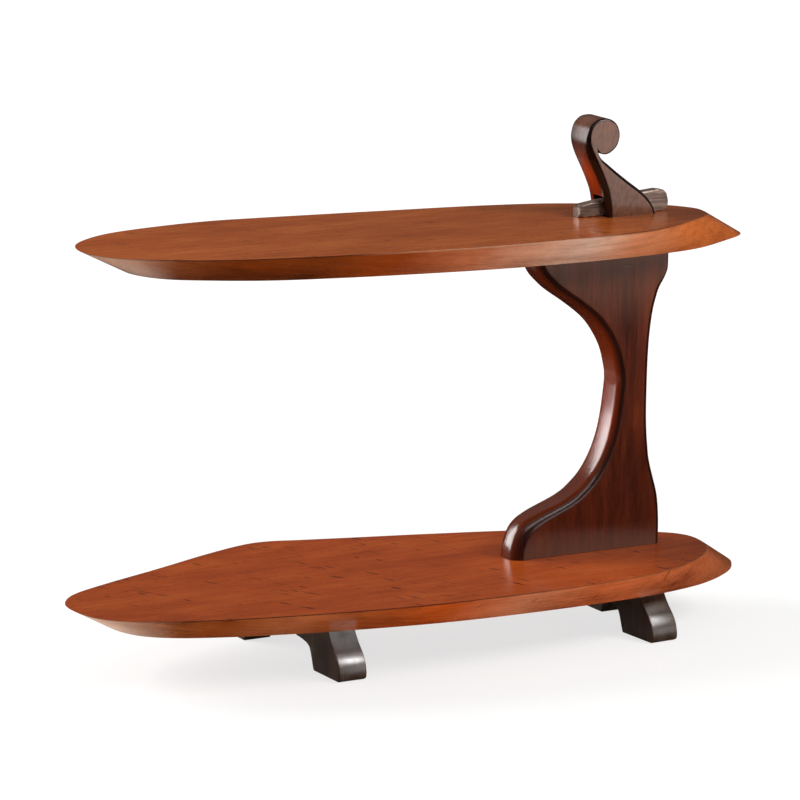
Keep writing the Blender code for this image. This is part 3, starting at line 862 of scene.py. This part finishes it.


# %% [markdown]
# The drift multiplies the wood's own colour, so white leaves it as it is and
# the grain stays visible. Where the drift follows the light rather than the
# stain, it is painted light and shade. A brown multiplies the back of the edge
# in the same way. The rim's line is laid over both, because stain that fills a
# corner hides the grain under it; where that line is pale, it is a painted
# highlight laid over the grain in the same way.


# %% Mahogany
def mahogany(name, pith, tones, drift, marks, rough, back_stain=0.0, rim_top=None,
             rim_drift=None):
    """Red-brown lacquered mahogany, its tone drifting along the board. Where
    rim_top is given, the rim's own drift shows just below that height."""
    material, tree, coordinates, surface, colour = hardwood(
        name, tones=tones, fleck_tone="#2b0f07", turn=(0.0, radians(0.8), radians(1.3)),
        pith=pith, cloud=(0.110, 0.050), streak=(0.085, 0.0075),
        shares=(0.46, 0.24, 0.12, 0.18), fleck_share=marks, fleck_size=(0.030, 0.0065),
        rough=rough, gloss=0.5)
    along, across, height = add(tree, 'ShaderNodeSeparateXYZ',
                                {0: coordinates['Object']}).outputs
    behind = add(tree, 'ShaderNodeMapRange', {'Value': across, 'From Min': -0.04,
                                              'From Max': 0.10, 'To Max': back_stain}).outputs[0]
    colour = add(tree, 'ShaderNodeMix', {0: behind, 6: colour, 7: paint("#a87c62")},
                 data_type='RGBA', blend_type='MULTIPLY').outputs[2]
    colour = add(tree, 'ShaderNodeMix', {0: 1.0, 6: colour, 7: along_board(tree, along, drift)},
                 data_type='RGBA', blend_type='MULTIPLY').outputs[2]
    if rim_top:
        at_rim = add(tree, 'ShaderNodeMapRange', {'Value': height, 'From Min': rim_top - 0.0026,
                                                  'From Max': rim_top - 0.0010,
                                                  'To Max': 0.75}).outputs[0]
        colour = add(tree, 'ShaderNodeMix',
                     {0: at_rim, 6: colour, 7: along_board(tree, along, rim_drift)},
                     data_type='RGBA').outputs[2]
    tree.links.new(colour, surface.inputs['Base Color'])
    return material


# %% [markdown]
# These are the two boards' colours. They were not chosen by eye alone: the
# mean tones of small patches were measured in the photograph and in a render,
# and the colours were adjusted until the two came near each other. So besides
# the wood's colour before light falls on it, they hold painted light: painted
# light and shade in the faces' drifts, a painted reflection in the pale stretch
# of each edge and a painted highlight in the upper arris. The edges start from
# pale tones, because their drifts bring the colour with them. Each list names
# the ramp's two ends first, and then what lies between.

# %% Looks of the two boards
edge_tones = ("#a08c80", "#d8cdc6", "#f4eee9", "#ffffff")
lower_look = {
    "pith": (0.0, 0.11, -0.16),
    "top": lower_top,
    "face tones": ("#953d11", "#a74615", "#b5521c", "#c36028"),
    "face marks": 0.50,
    "edge marks": 0.12,
    # The face drift is painted light and shade: darker toward the right end, a painted shadow of
    # the column.
    "face": [(0.0, "#dcdcdc"), (1.0, "#b2b5bf"), (0.36, "#e8e8e8"), (0.55, "#ededed"),
             (0.72, "#ffffff"), (0.88, "#e4e4e8")],
    # The edge's pale stop at 0.57 is a painted reflection.
    "edge": [(0.0, "#b87845"), (1.0, "#a06040"), (0.16, "#b4581e"), (0.25, "#db7e4c"),
             (0.32, "#d06c34"), (0.45, "#fe7221"), (0.57, "#ffa173"), (0.68, "#fe854b"),
             (0.88, "#c66b40")],
    "arris": [(0.0, "#7a4a30"), (1.0, "#a86038"), (0.15, "#3a1a0c"), (0.50, "#5a2a12"),
              (0.70, "#a05a30")],
}
upper_look = {
    "pith": (0.30, 0.21, -0.01),
    "top": upper_top,
    "face tones": ("#9d491a", "#af541f", "#bd6129", "#ce7237"),
    "face marks": 0.09,
    "edge marks": 0.0,
    # The face drift is painted light and shade: lighter at the left, darker toward the right end,
    # a painted shadow of the column and the tenon.
    "face": [(0.0, "#ffffff"), (1.0, "#a9acb5"), (0.40, "#f3f3f3"), (0.62, "#f0f0f0"),
             (0.74, "#e8e8e8"), (0.88, "#cfcfd3")],
    # The edge's pale stretch from about 0.55 to 0.72 is a painted reflection.
    "edge": [(0.0, "#b87845"), (1.0, "#b5602f"), (0.10, "#a0562a"), (0.19, "#793505"),
             (0.29, "#77380a"), (0.40, "#ad5019"), (0.51, "#d9855b"), (0.60, "#f4b898"),
             (0.67, "#ffd9c2"), (0.75, "#ef9c6e"), (0.84, "#ce723b")],
    # The arris's pale stretch from 0.40 to 0.64 is a painted highlight.
    "arris": [(0.0, "#7a4a30"), (1.0, "#a86038"), (0.12, "#32170b"), (0.33, "#3c1c0e"),
              (0.40, "#c08a68"), (0.64, "#e0b294"), (0.72, "#6d3416")],
}
print("colours along the upper edge:", len(upper_look["edge"]))

# %% [markdown]
# A face of the mesh takes its finish by where it lies: the flat ones, the
# rounding just under the top, and the rest, which is the sawn edge.

# %% Finish of the boards
for piece, look in ((lower_board, lower_look), (upper_board, upper_look)):
    dress(
        piece,
        mahogany(f"stained mahogany, face of {piece.name}", look["pith"], look["face tones"],
                 look["face"], look["face marks"], 0.20),
        mahogany(f"stained mahogany, sawn edge of {piece.name}", look["pith"], edge_tones,
                 look["edge"], look["edge marks"], 0.17, back_stain=1.0, rim_top=look["top"],
                 rim_drift=look["arris"]),
        mahogany(f"stained mahogany, arris of {piece.name}", look["pith"], edge_tones,
                 look["arris"], 0.0, 0.15))
    for face in piece.data.polygons:
        flat = abs(face.normal.z) > 0.99
        at_rim = face.center.z > look["top"] - 1.5 * board_arris
        face.material_index = 0 if flat else 2 if at_rim else 1
    print(piece.name, "has", len(piece.data.materials), "finishes")

# %% [markdown]
# ### Dark wood of the column
#
# The column is a close-grained hardwood stained nearly black over red, and the
# red shines through in upright streaks. Its flat faces are blotchy on the tenon
# and the scroll, and greyer there, partly rubbed and partly a painted sheen, and
# are dusty near the foot. Both are masks of the height, which need no map on so
# plain a face.


# %% Faces of the column
under_board, over_board = 0.44, 0.48


def dusty_and_sheen_faces(tree, coordinates, height, colour, blot_share):
    """The stain's colour on the flat faces: grey with dust at the foot, and grey
    toward the scroll, partly worn and partly a painted sheen, with dark blots a
    few millimetres wide."""
    low = add(tree, 'ShaderNodeMapRange', {'Value': height, 'From Min': 0.125,
                                           'From Max': 0.094, 'To Max': 0.45}).outputs[0]
    high = add(tree, 'ShaderNodeMapRange', {'Value': height, 'From Min': 0.35,
                                            'From Max': 0.49}).outputs[0]
    dust_wear_and_sheen = add(tree, 'ShaderNodeMath', {0: low, 1: high}, operation='MAXIMUM').outputs[0]
    # The grey laid on here is dust at the foot, and toward the scroll partly wear and partly a
    # painted sheen.
    dust_and_sheen = add(tree, 'ShaderNodeMix', {0: 0.55, 6: paint("#9a6c50"), 7: colour},
                data_type='RGBA', blend_type='OVERLAY').outputs[2]
    blots = add(tree, 'ShaderNodeMapping',
                {'Vector': coordinates['Object'], 'Rotation': (0.0, radians(12.0), 0.0),
                 'Scale': (0.0045, 0.0045, 0.009)}, vector_type='TEXTURE').outputs[0]
    blots = add(tree, 'ShaderNodeTexNoise', {'Vector': blots, 'Scale': 1.0, 'Detail': 5.0,
                                             'Roughness': 0.6}).outputs[0]
    blots = add(tree, 'ShaderNodeMapRange', {'Value': blots, 'From Min': 0.42, 'From Max': 0.68,
                                             'To Max': blot_share}).outputs[0]
    dust_and_sheen = add(tree, 'ShaderNodeMix', {0: blots, 6: dust_and_sheen, 7: paint("#2c1a14")},
                data_type='RGBA').outputs[2]
    return add(tree, 'ShaderNodeMix', {0: dust_wear_and_sheen, 6: colour, 7: dust_and_sheen},
               data_type='RGBA').outputs[2]


# %% [markdown]
# On the rolled edges the stain lies thickest just round the corner, and
# farther round the edge is red-brown, partly rubbed through and partly a
# painted reflection of the red boards. That is brightest low on the tenon's
# neck, and goes to a grey-brown on top of the scroll, partly worn and partly a
# painted sheen. The edge's own UV map says where: V is 0 and 1 at the two faces
# and a half midway between them, so its distance from a half is all that is
# needed.


# %% Edges of the column
def from_middle(tree, coordinates):
    """How far a place lies from the middle of a rolled edge: a half at the
    two faces, 0 midway between them."""
    across = add(tree, 'ShaderNodeSeparateXYZ', {0: coordinates['UV']}).outputs[1]
    middle = add(tree, 'ShaderNodeMath', {0: across, 1: 0.5}, operation='SUBTRACT').outputs[0]
    return add(tree, 'ShaderNodeMath', {0: middle}, operation='ABSOLUTE').outputs[0]


def rubbed_and_reflected_edges(tree, height, inward, colour, stain_from, stain_to):
    """The stain's colour on the rolled edges, black at stain_from and red-brown at
    stain_to, partly worn through and partly a painted reflection."""
    # The red on the neck and the hollow is partly a painted reflection of the boards, and the
    # grey-brown on top of the scroll partly a painted sheen.
    neck = add(tree, 'ShaderNodeValToRGB', {'Fac': height},
               stops=[(0.18, "#52200c"), (0.592, "#7a5544"), (0.24, "#7c2a08"),
                      (0.34, "#6a2408"), (0.42, "#4a1806"), (0.488, "#3a1206"),
                      (0.512, "#8a2705"), (0.532, "#a03005"), (0.556, "#5a1e0a"),
                      (0.570, "#2c1a12"), (0.582, "#442a20")]).outputs[0]
    rub_and_reflection = add(tree, 'ShaderNodeMapRange', {'Value': inward, 'From Min': stain_from,
                                              'From Max': stain_to}).outputs[0]
    corner = add(tree, 'ShaderNodeValToRGB', {'Fac': height},
                 stops=[(under_board, "#280d06"), (over_board, "#100603")]).outputs[0]
    rolled = add(tree, 'ShaderNodeMix', {0: rub_and_reflection, 6: corner, 7: neck},
                 data_type='RGBA').outputs[2]
    grain_share = add(tree, 'ShaderNodeMapRange', {'Value': rub_and_reflection, 'To Min': 0.08,
                                                   'To Max': 0.30}).outputs[0]
    return add(tree, 'ShaderNodeMix', {0: grain_share, 6: rolled, 7: colour},
               data_type='RGBA').outputs[2]


# %% [markdown]
# Three limits shift as the column passes through the upper board. Below it
# the edge is red-brown over much of its width, partly rubbed through and partly
# a painted reflection, and the faces have hardly a blot. Above it the black
# reaches nearly to the middle of the edge, which leaves a narrow line of red,
# and the blots are strong. The scroll's curled edge has a finish of its own,
# worn duller by hands, so that it gleams only along the crown.

# %% Dark wood
upright = (0.0, radians(90.0), 0.0)


def dark_wood(name, pith, rough, gloss):
    """Dark stained, lacquered hardwood, grey on its faces from dust, wear and a
    painted sheen, and red-brown on its edges, partly worn and partly a painted
    reflection.
    """
    material, tree, coordinates, surface, colour = hardwood(
        name, tones=("#341004", "#481805", "#5b2108", "#74310f"), fleck_tone="#1b0a05",
        turn=upright, pith=pith, cloud=(0.140, 0.026), streak=(0.090, 0.0080),
        shares=(0.58, 0.18, 0.09, 0.15), fleck_share=0.02, fleck_size=(0.020, 0.006),
        rough=rough, gloss=gloss)
    height = add(tree, 'ShaderNodeSeparateXYZ', {0: coordinates['Object']}).outputs[2]
    stain_from, stain_to, blot_share = [
        add(tree, 'ShaderNodeMapRange', {'Value': height, 'From Min': under_board,
                                         'From Max': over_board, 'To Min': below,
                                         'To Max': above}).outputs[0]
        for below, above in ((0.36, 0.07), (0.16, 0.0), (0.10, 0.52))]
    inward = from_middle(tree, coordinates)
    round_edge = add(tree, 'ShaderNodeMapRange', {'Value': inward, 'From Min': 0.49,
                                                  'From Max': 0.44}).outputs[0]
    faces = dusty_and_sheen_faces(tree, coordinates, height, colour, blot_share)
    edges = rubbed_and_reflected_edges(tree, height, inward, colour, stain_from, stain_to)
    colour = add(tree, 'ShaderNodeMix', {0: round_edge, 6: faces, 7: edges},
                 data_type='RGBA').outputs[2]
    tree.links.new(colour, surface.inputs['Base Color'])
    return material


plank_pith = (0.05, 0.13, 0.0)
block_pith = (-0.21, 0.06, 0.0)
plank_wood = dark_wood("dark stained hardwood of the middle plank", plank_pith, 0.20, 0.5)
scroll_wood = dark_wood("dark stained hardwood of the scroll, worn", plank_pith, 0.26, 0.2)
block_wood = dark_wood("dark stained hardwood of the glued blocks", block_pith, 0.20, 0.5)
dress(column, plank_wood, scroll_wood)
dress(toe_block, block_wood)
dress(shoulder_block, block_wood)
scroll_from = upper_top + 0.6 * tenon_height
for face in column.data.polygons:
    face.material_index = int(face.center.z > scroll_from and abs(face.normal.y) < 0.9)
for wood in (plank_wood, scroll_wood, block_wood):
    print(wood.name)

# %% [markdown]
# ### Wood of the key and the feet
#
# The key and the feet are the same hardwood, darker and greyer: the key was
# rubbed by handling, and the feet are nearly black. The key's arrises are pale in
# spots of a few millimetres, partly worn to bare wood and partly a painted
# highlight. They follow its own UV map, in which an arris lies about a quarter
# away from the middle of the edge.

# %% Finish of the key
key_wood, tree, coordinates, surface, colour = hardwood(
    "dark stained hardwood, worn grey", tones=("#291b14", "#503c31", "#7b6152", "#b39886"),
    fleck_tone="#241611", turn=(0.0, 0.0, 0.0), pith=(0.0, 0.02, 0.55), cloud=(0.050, 0.008),
    streak=(0.030, 0.0022), shares=(0.40, 0.35, 0.15, 0.10), fleck_share=0.05,
    fleck_size=(0.012, 0.004), rough=0.30, gloss=0.5)
off_arris = add(tree, 'ShaderNodeMath', {0: from_middle(tree, coordinates), 1: 0.27},
                operation='SUBTRACT').outputs[0]
off_arris = add(tree, 'ShaderNodeMath', {0: off_arris}, operation='ABSOLUTE').outputs[0]
arris = add(tree, 'ShaderNodeMapRange', {'Value': off_arris, 'From Min': 0.20,
                                         'From Max': 0.10}).outputs[0]
scuff_and_glint_spots = add(tree, 'ShaderNodeTexNoise', {'Vector': coordinates['Object'], 'Scale': 170.0,
                                          'Detail': 2.0}).outputs[0]
scuff_and_glint_spots = add(tree, 'ShaderNodeMapRange', {'Value': scuff_and_glint_spots, 'From Min': 0.42, 'From Max': 0.60,
                                          'To Max': 0.85}).outputs[0]
# Pale spots on the arrises: partly wear, partly a painted highlight.
worn = add(tree, 'ShaderNodeMath', {0: arris, 1: scuff_and_glint_spots}, operation='MULTIPLY').outputs[0]
colour = add(tree, 'ShaderNodeMix', {0: worn, 6: colour, 7: paint("#cbb6a4")},
             data_type='RGBA').outputs[2]
tree.links.new(colour, surface.inputs['Base Color'])
dress(key, key_wood)
print(key_wood.name)

# %% [markdown]
# The feet's lacquer is satin but thick, so it gleams broadly on the bulge of
# each toe: rougher than the column's, with a stronger mirror.

# %% Finish of the feet
foot_wood = hardwood(
    "near black stained hardwood, satin lacquer",
    tones=("#28180f", "#3a281d", "#4c382c", "#664e3f"), fleck_tone="#100907", turn=upright,
    pith=(0.0, 0.3, 0.0), cloud=(0.060, 0.015), streak=(0.030, 0.0030),
    shares=(0.45, 0.30, 0.15, 0.10), fleck_share=0.02, fleck_size=(0.012, 0.004), rough=0.32,
    gloss=1.0)[0]
for foot in feet.values():
    dress(foot, foot_wood)
print(foot_wood.name)

# %% [markdown]
# ### Brass screws
#
# The screws are plain turned brass, seen only from below. They keep their CAD
# shape. Old brass goes brown and dull in patches of a few millimetres, which
# is all that shows on heads this small.

# %% Brass
brass, tree, output = new_material("turned brass, dulled")
place = add(tree, 'ShaderNodeTexCoord').outputs['Object']
patches = add(tree, 'ShaderNodeTexNoise', {'Vector': place, 'Scale': 420.0, 'Detail': 3.0})
tarnish = add(tree, 'ShaderNodeValToRGB', {'Fac': patches.outputs[0]},
              stops=[(0.35, "#8a6a35"), (0.68, "#c9a45a")])
dull = add(tree, 'ShaderNodeMapRange', {'Value': patches.outputs[0], 'To Min': 0.45,
                                        'To Max': 0.28})
surface = add(tree, 'ShaderNodeBsdfPrincipled',
              {'Base Color': tarnish.outputs[0], 'Metallic': 1.0, 'Roughness': dull.outputs[0]})
tree.links.new(surface.outputs[0], output.inputs['Surface'])
for node_name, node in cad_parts.items():
    if "screw" in node_name:
        dress(node, brass)
print(brass.name)

# %% [markdown]
# ## Telling the frame which piece is which
#
# Every new piece rides on a body of the imported model, so it moves when that
# body does: only the key has a body of its own. Each stands for the CAD node
# of its shape, which is hidden.

# %% Ride and replace
stands_for = {
    "upper_board": (upper_board, "table", "board_wood"),
    "lower_board": (lower_board, "table", "board_wood"),
    "column": (column, "table", "dark_wood"),
    "toe_block": (toe_block, "table", "dark_wood"),
    "shoulder_block": (shoulder_block, "table", "dark_wood"),
    "wedge_key": (key, "key", "dark_wood"),
}
for spot_name, foot in feet.items():
    stands_for["foot_" + spot_name] = (foot, "table", "foot_wood")
for node_name, (piece, body, slot) in stands_for.items():
    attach(piece, body)
    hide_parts(node_name)
print(len(stands_for), "pieces stand for CAD nodes")

# %% [markdown]
# ## The floor
#
# The floor is pale and carries the picture's white: it fills the whole frame
# behind the table, so nothing above it has to be bright. To the camera it is
# matt paper that keeps the table's shadow, with a white glow over it that
# grows with the distance.
#
# What the lacquer mirrors of it is set apart with the Light Path node. In the
# photograph the undercut edges are pale at their left tips and deep in colour
# everywhere else, and the board tops mirror a dim room. So the mirrored floor
# is pale only at the back left, fades with the distance, and is nearly black
# toward the front and the right.

# %% Floor
bpy.ops.mesh.primitive_plane_add(size=60.0, location=(0.0, 0.0, -0.0002))
floor = bpy.context.object
floor.name = "studio_floor"
paper, tree, output = new_material("white studio paper")
path = add(tree, 'ShaderNodeLightPath').outputs
spot = add(tree, 'ShaderNodeTexCoord').outputs['Object']
away = add(tree, 'ShaderNodeVectorMath', {0: spot}, operation='LENGTH').outputs['Value']
lit = add(tree, 'ShaderNodeMapRange', {'Value': away, 'From Min': 0.5, 'From Max': 1.8,
                                       'To Min': 0.62, 'To Max': 0.92})
toward_back_left = add(tree, 'ShaderNodeVectorMath', {0: spot, 1: (-1.9, 0.9, 0.0)},
                       operation='DOT_PRODUCT').outputs['Value']
pale = add(tree, 'ShaderNodeMapRange', {'Value': toward_back_left, 'From Min': 0.54,
                                        'From Max': 0.70, 'To Min': 0.02, 'To Max': 0.90})
near = add(tree, 'ShaderNodeMapRange', {'Value': away, 'From Min': 0.4, 'From Max': 1.7,
                                        'To Min': 1.0, 'To Max': 0.03})
mirrored = add(tree, 'ShaderNodeMath', {0: pale.outputs[0], 1: near.outputs[0]},
               operation='MULTIPLY')
share = add(tree, 'ShaderNodeMath', {0: path['Is Camera Ray'], 1: lit.outputs[0]},
            operation='MULTIPLY')
for ray in ('Is Glossy Ray', 'Is Transmission Ray'):
    share = add(tree, 'ShaderNodeMath', {0: share.outputs[0], 1: path[ray]}, operation='MAXIMUM')
strength = add(tree, 'ShaderNodeMix', {0: path['Is Camera Ray'], 2: mirrored.outputs[0], 3: 1.15})
tint = add(tree, 'ShaderNodeMix', {0: path['Is Camera Ray'], 6: paint("#ffe4cf"),
                                   7: paint("#ffffff")}, data_type='RGBA')
matt = add(tree, 'ShaderNodeBsdfDiffuse', {'Color': paint("#e9e8e6")})
glow = add(tree, 'ShaderNodeEmission', {'Color': tint.outputs[2],
                                        'Strength': strength.outputs[0]})
mixed = add(tree, 'ShaderNodeMixShader', {0: share.outputs[0], 1: matt.outputs[0],
                                          2: glow.outputs[0]})
tree.links.new(mixed.outputs[0], output.inputs['Surface'])
floor.data.materials.append(paper)
print(floor.name)

# %% [markdown]
# ## The lamps
#
# A wide box stands at the back left, a little above the boards. It draws the
# streak down the hollow edge and the gleams on the toe and the scroll, and it
# throws the shadows of the column and the tenon to the right. Another hangs in
# front at the right, for the front and the bulge of the near right foot.
#
# Boxes as bright as these turn a lacquered board top white when it is seen at
# a low angle. So each is made twice. One lights everything and is mirrored by
# nothing. Its copy lights nothing and is mirrored by the dark pieces only,
# through light linking, and it hangs a little nearer, because two lamps in one
# place hide each other.
#
# The raked edge keeps both boxes out of the near left foot's bulge, so a small
# box of its own gleams there, which the board doesn't block. A dim bank serves
# the front roundings, and a low panel greys the tenon and the scroll.


# %% Lamps
def soft_box(name, place, target, size, radiance):
    """A rectangular area light (width, height) aimed at a point, its power
    worked out from how bright it looks."""
    bpy.ops.object.light_add(type='AREA', location=place)
    lamp = bpy.context.object
    lamp.name = name
    lamp.data.shape = 'RECTANGLE'
    lamp.data.size, lamp.data.size_y = size
    lamp.data.energy = radiance * pi * size[0] * size[1]
    lamp.visible_camera = False
    lamp.rotation_euler = (Vector(target) - Vector(place)).to_track_quat('-Z', 'Y').to_euler()
    return lamp


def gleam(name, place, target, size, radiance, pieces):
    """A box that lights nothing, and that only some pieces mirror."""
    lamp = soft_box(name, place, target, size, radiance)
    lamp.visible_diffuse = False
    lamp.light_linking.receiver_collection = pieces
    return lamp


mirrors_boxes = bpy.data.collections.new("pieces that mirror the boxes")
for piece in dark_pieces:
    mirrors_boxes.objects.link(piece)
near_foot = bpy.data.collections.new("near left foot")
near_foot.objects.link(feet["near_left"])
step_nearer = 0.02
for name, place, target, size, radiance in (
        ("wide box back left", (-1.38, 1.24, 0.85), (0.15, -0.05, 0.45), (1.4, 1.4), 11.0),
        ("soft box front right", (1.22, -1.55, 1.62), (0.05, -0.10, 0.15), (0.8, 0.8), 14.0)):
    soft_box(name, place, target, size, radiance).visible_glossy = False
    nearer = Vector(place) + (Vector(target) - Vector(place)) * step_nearer
    gleam(name + " in the lacquer", nearer, target, size, radiance, mirrors_boxes)
foot_box = gleam("box in the near left foot's lacquer", (0.63, -1.02, 1.08),
                 (-0.13, -0.12, 0.03), (0.45, 0.45), 30.0, near_foot)
foot_box.light_linking.blocker_collection = near_foot
soft_box("front bank", (0.0, -1.9, 1.65), (0.10, -0.05, 0.20), (2.0, 0.5), 3.0)
soft_box("low panel front right", (1.27, -1.79, 0.34), (0.27, -0.06, 0.34), (1.4, 0.44), 2.2)

# %% [markdown]
# The world is a dim room with a paler ceiling. It is plain grey, so that every
# colour renders about as it is written, with the Standard view transform.

# %% Room
world = bpy.data.worlds.new("dim studio")
bpy.context.scene.world = world
world.use_nodes = True
tree = world.node_tree
tree.nodes.clear()
upward = add(tree, 'ShaderNodeSeparateXYZ',
             {0: add(tree, 'ShaderNodeTexCoord').outputs['Generated']}).outputs[2]
ceiling = add(tree, 'ShaderNodeMapRange', {'Value': upward, 'From Min': 0.3, 'From Max': 0.9,
                                           'To Min': 0.05, 'To Max': 0.4})
room = add(tree, 'ShaderNodeBackground', {'Color': paint("#ffffff"),
                                          'Strength': ceiling.outputs[0]})
add(tree, 'ShaderNodeOutputWorld', {'Surface': room.outputs[0]})
bpy.context.scene.view_settings.view_transform = 'Standard'
print(world.name)
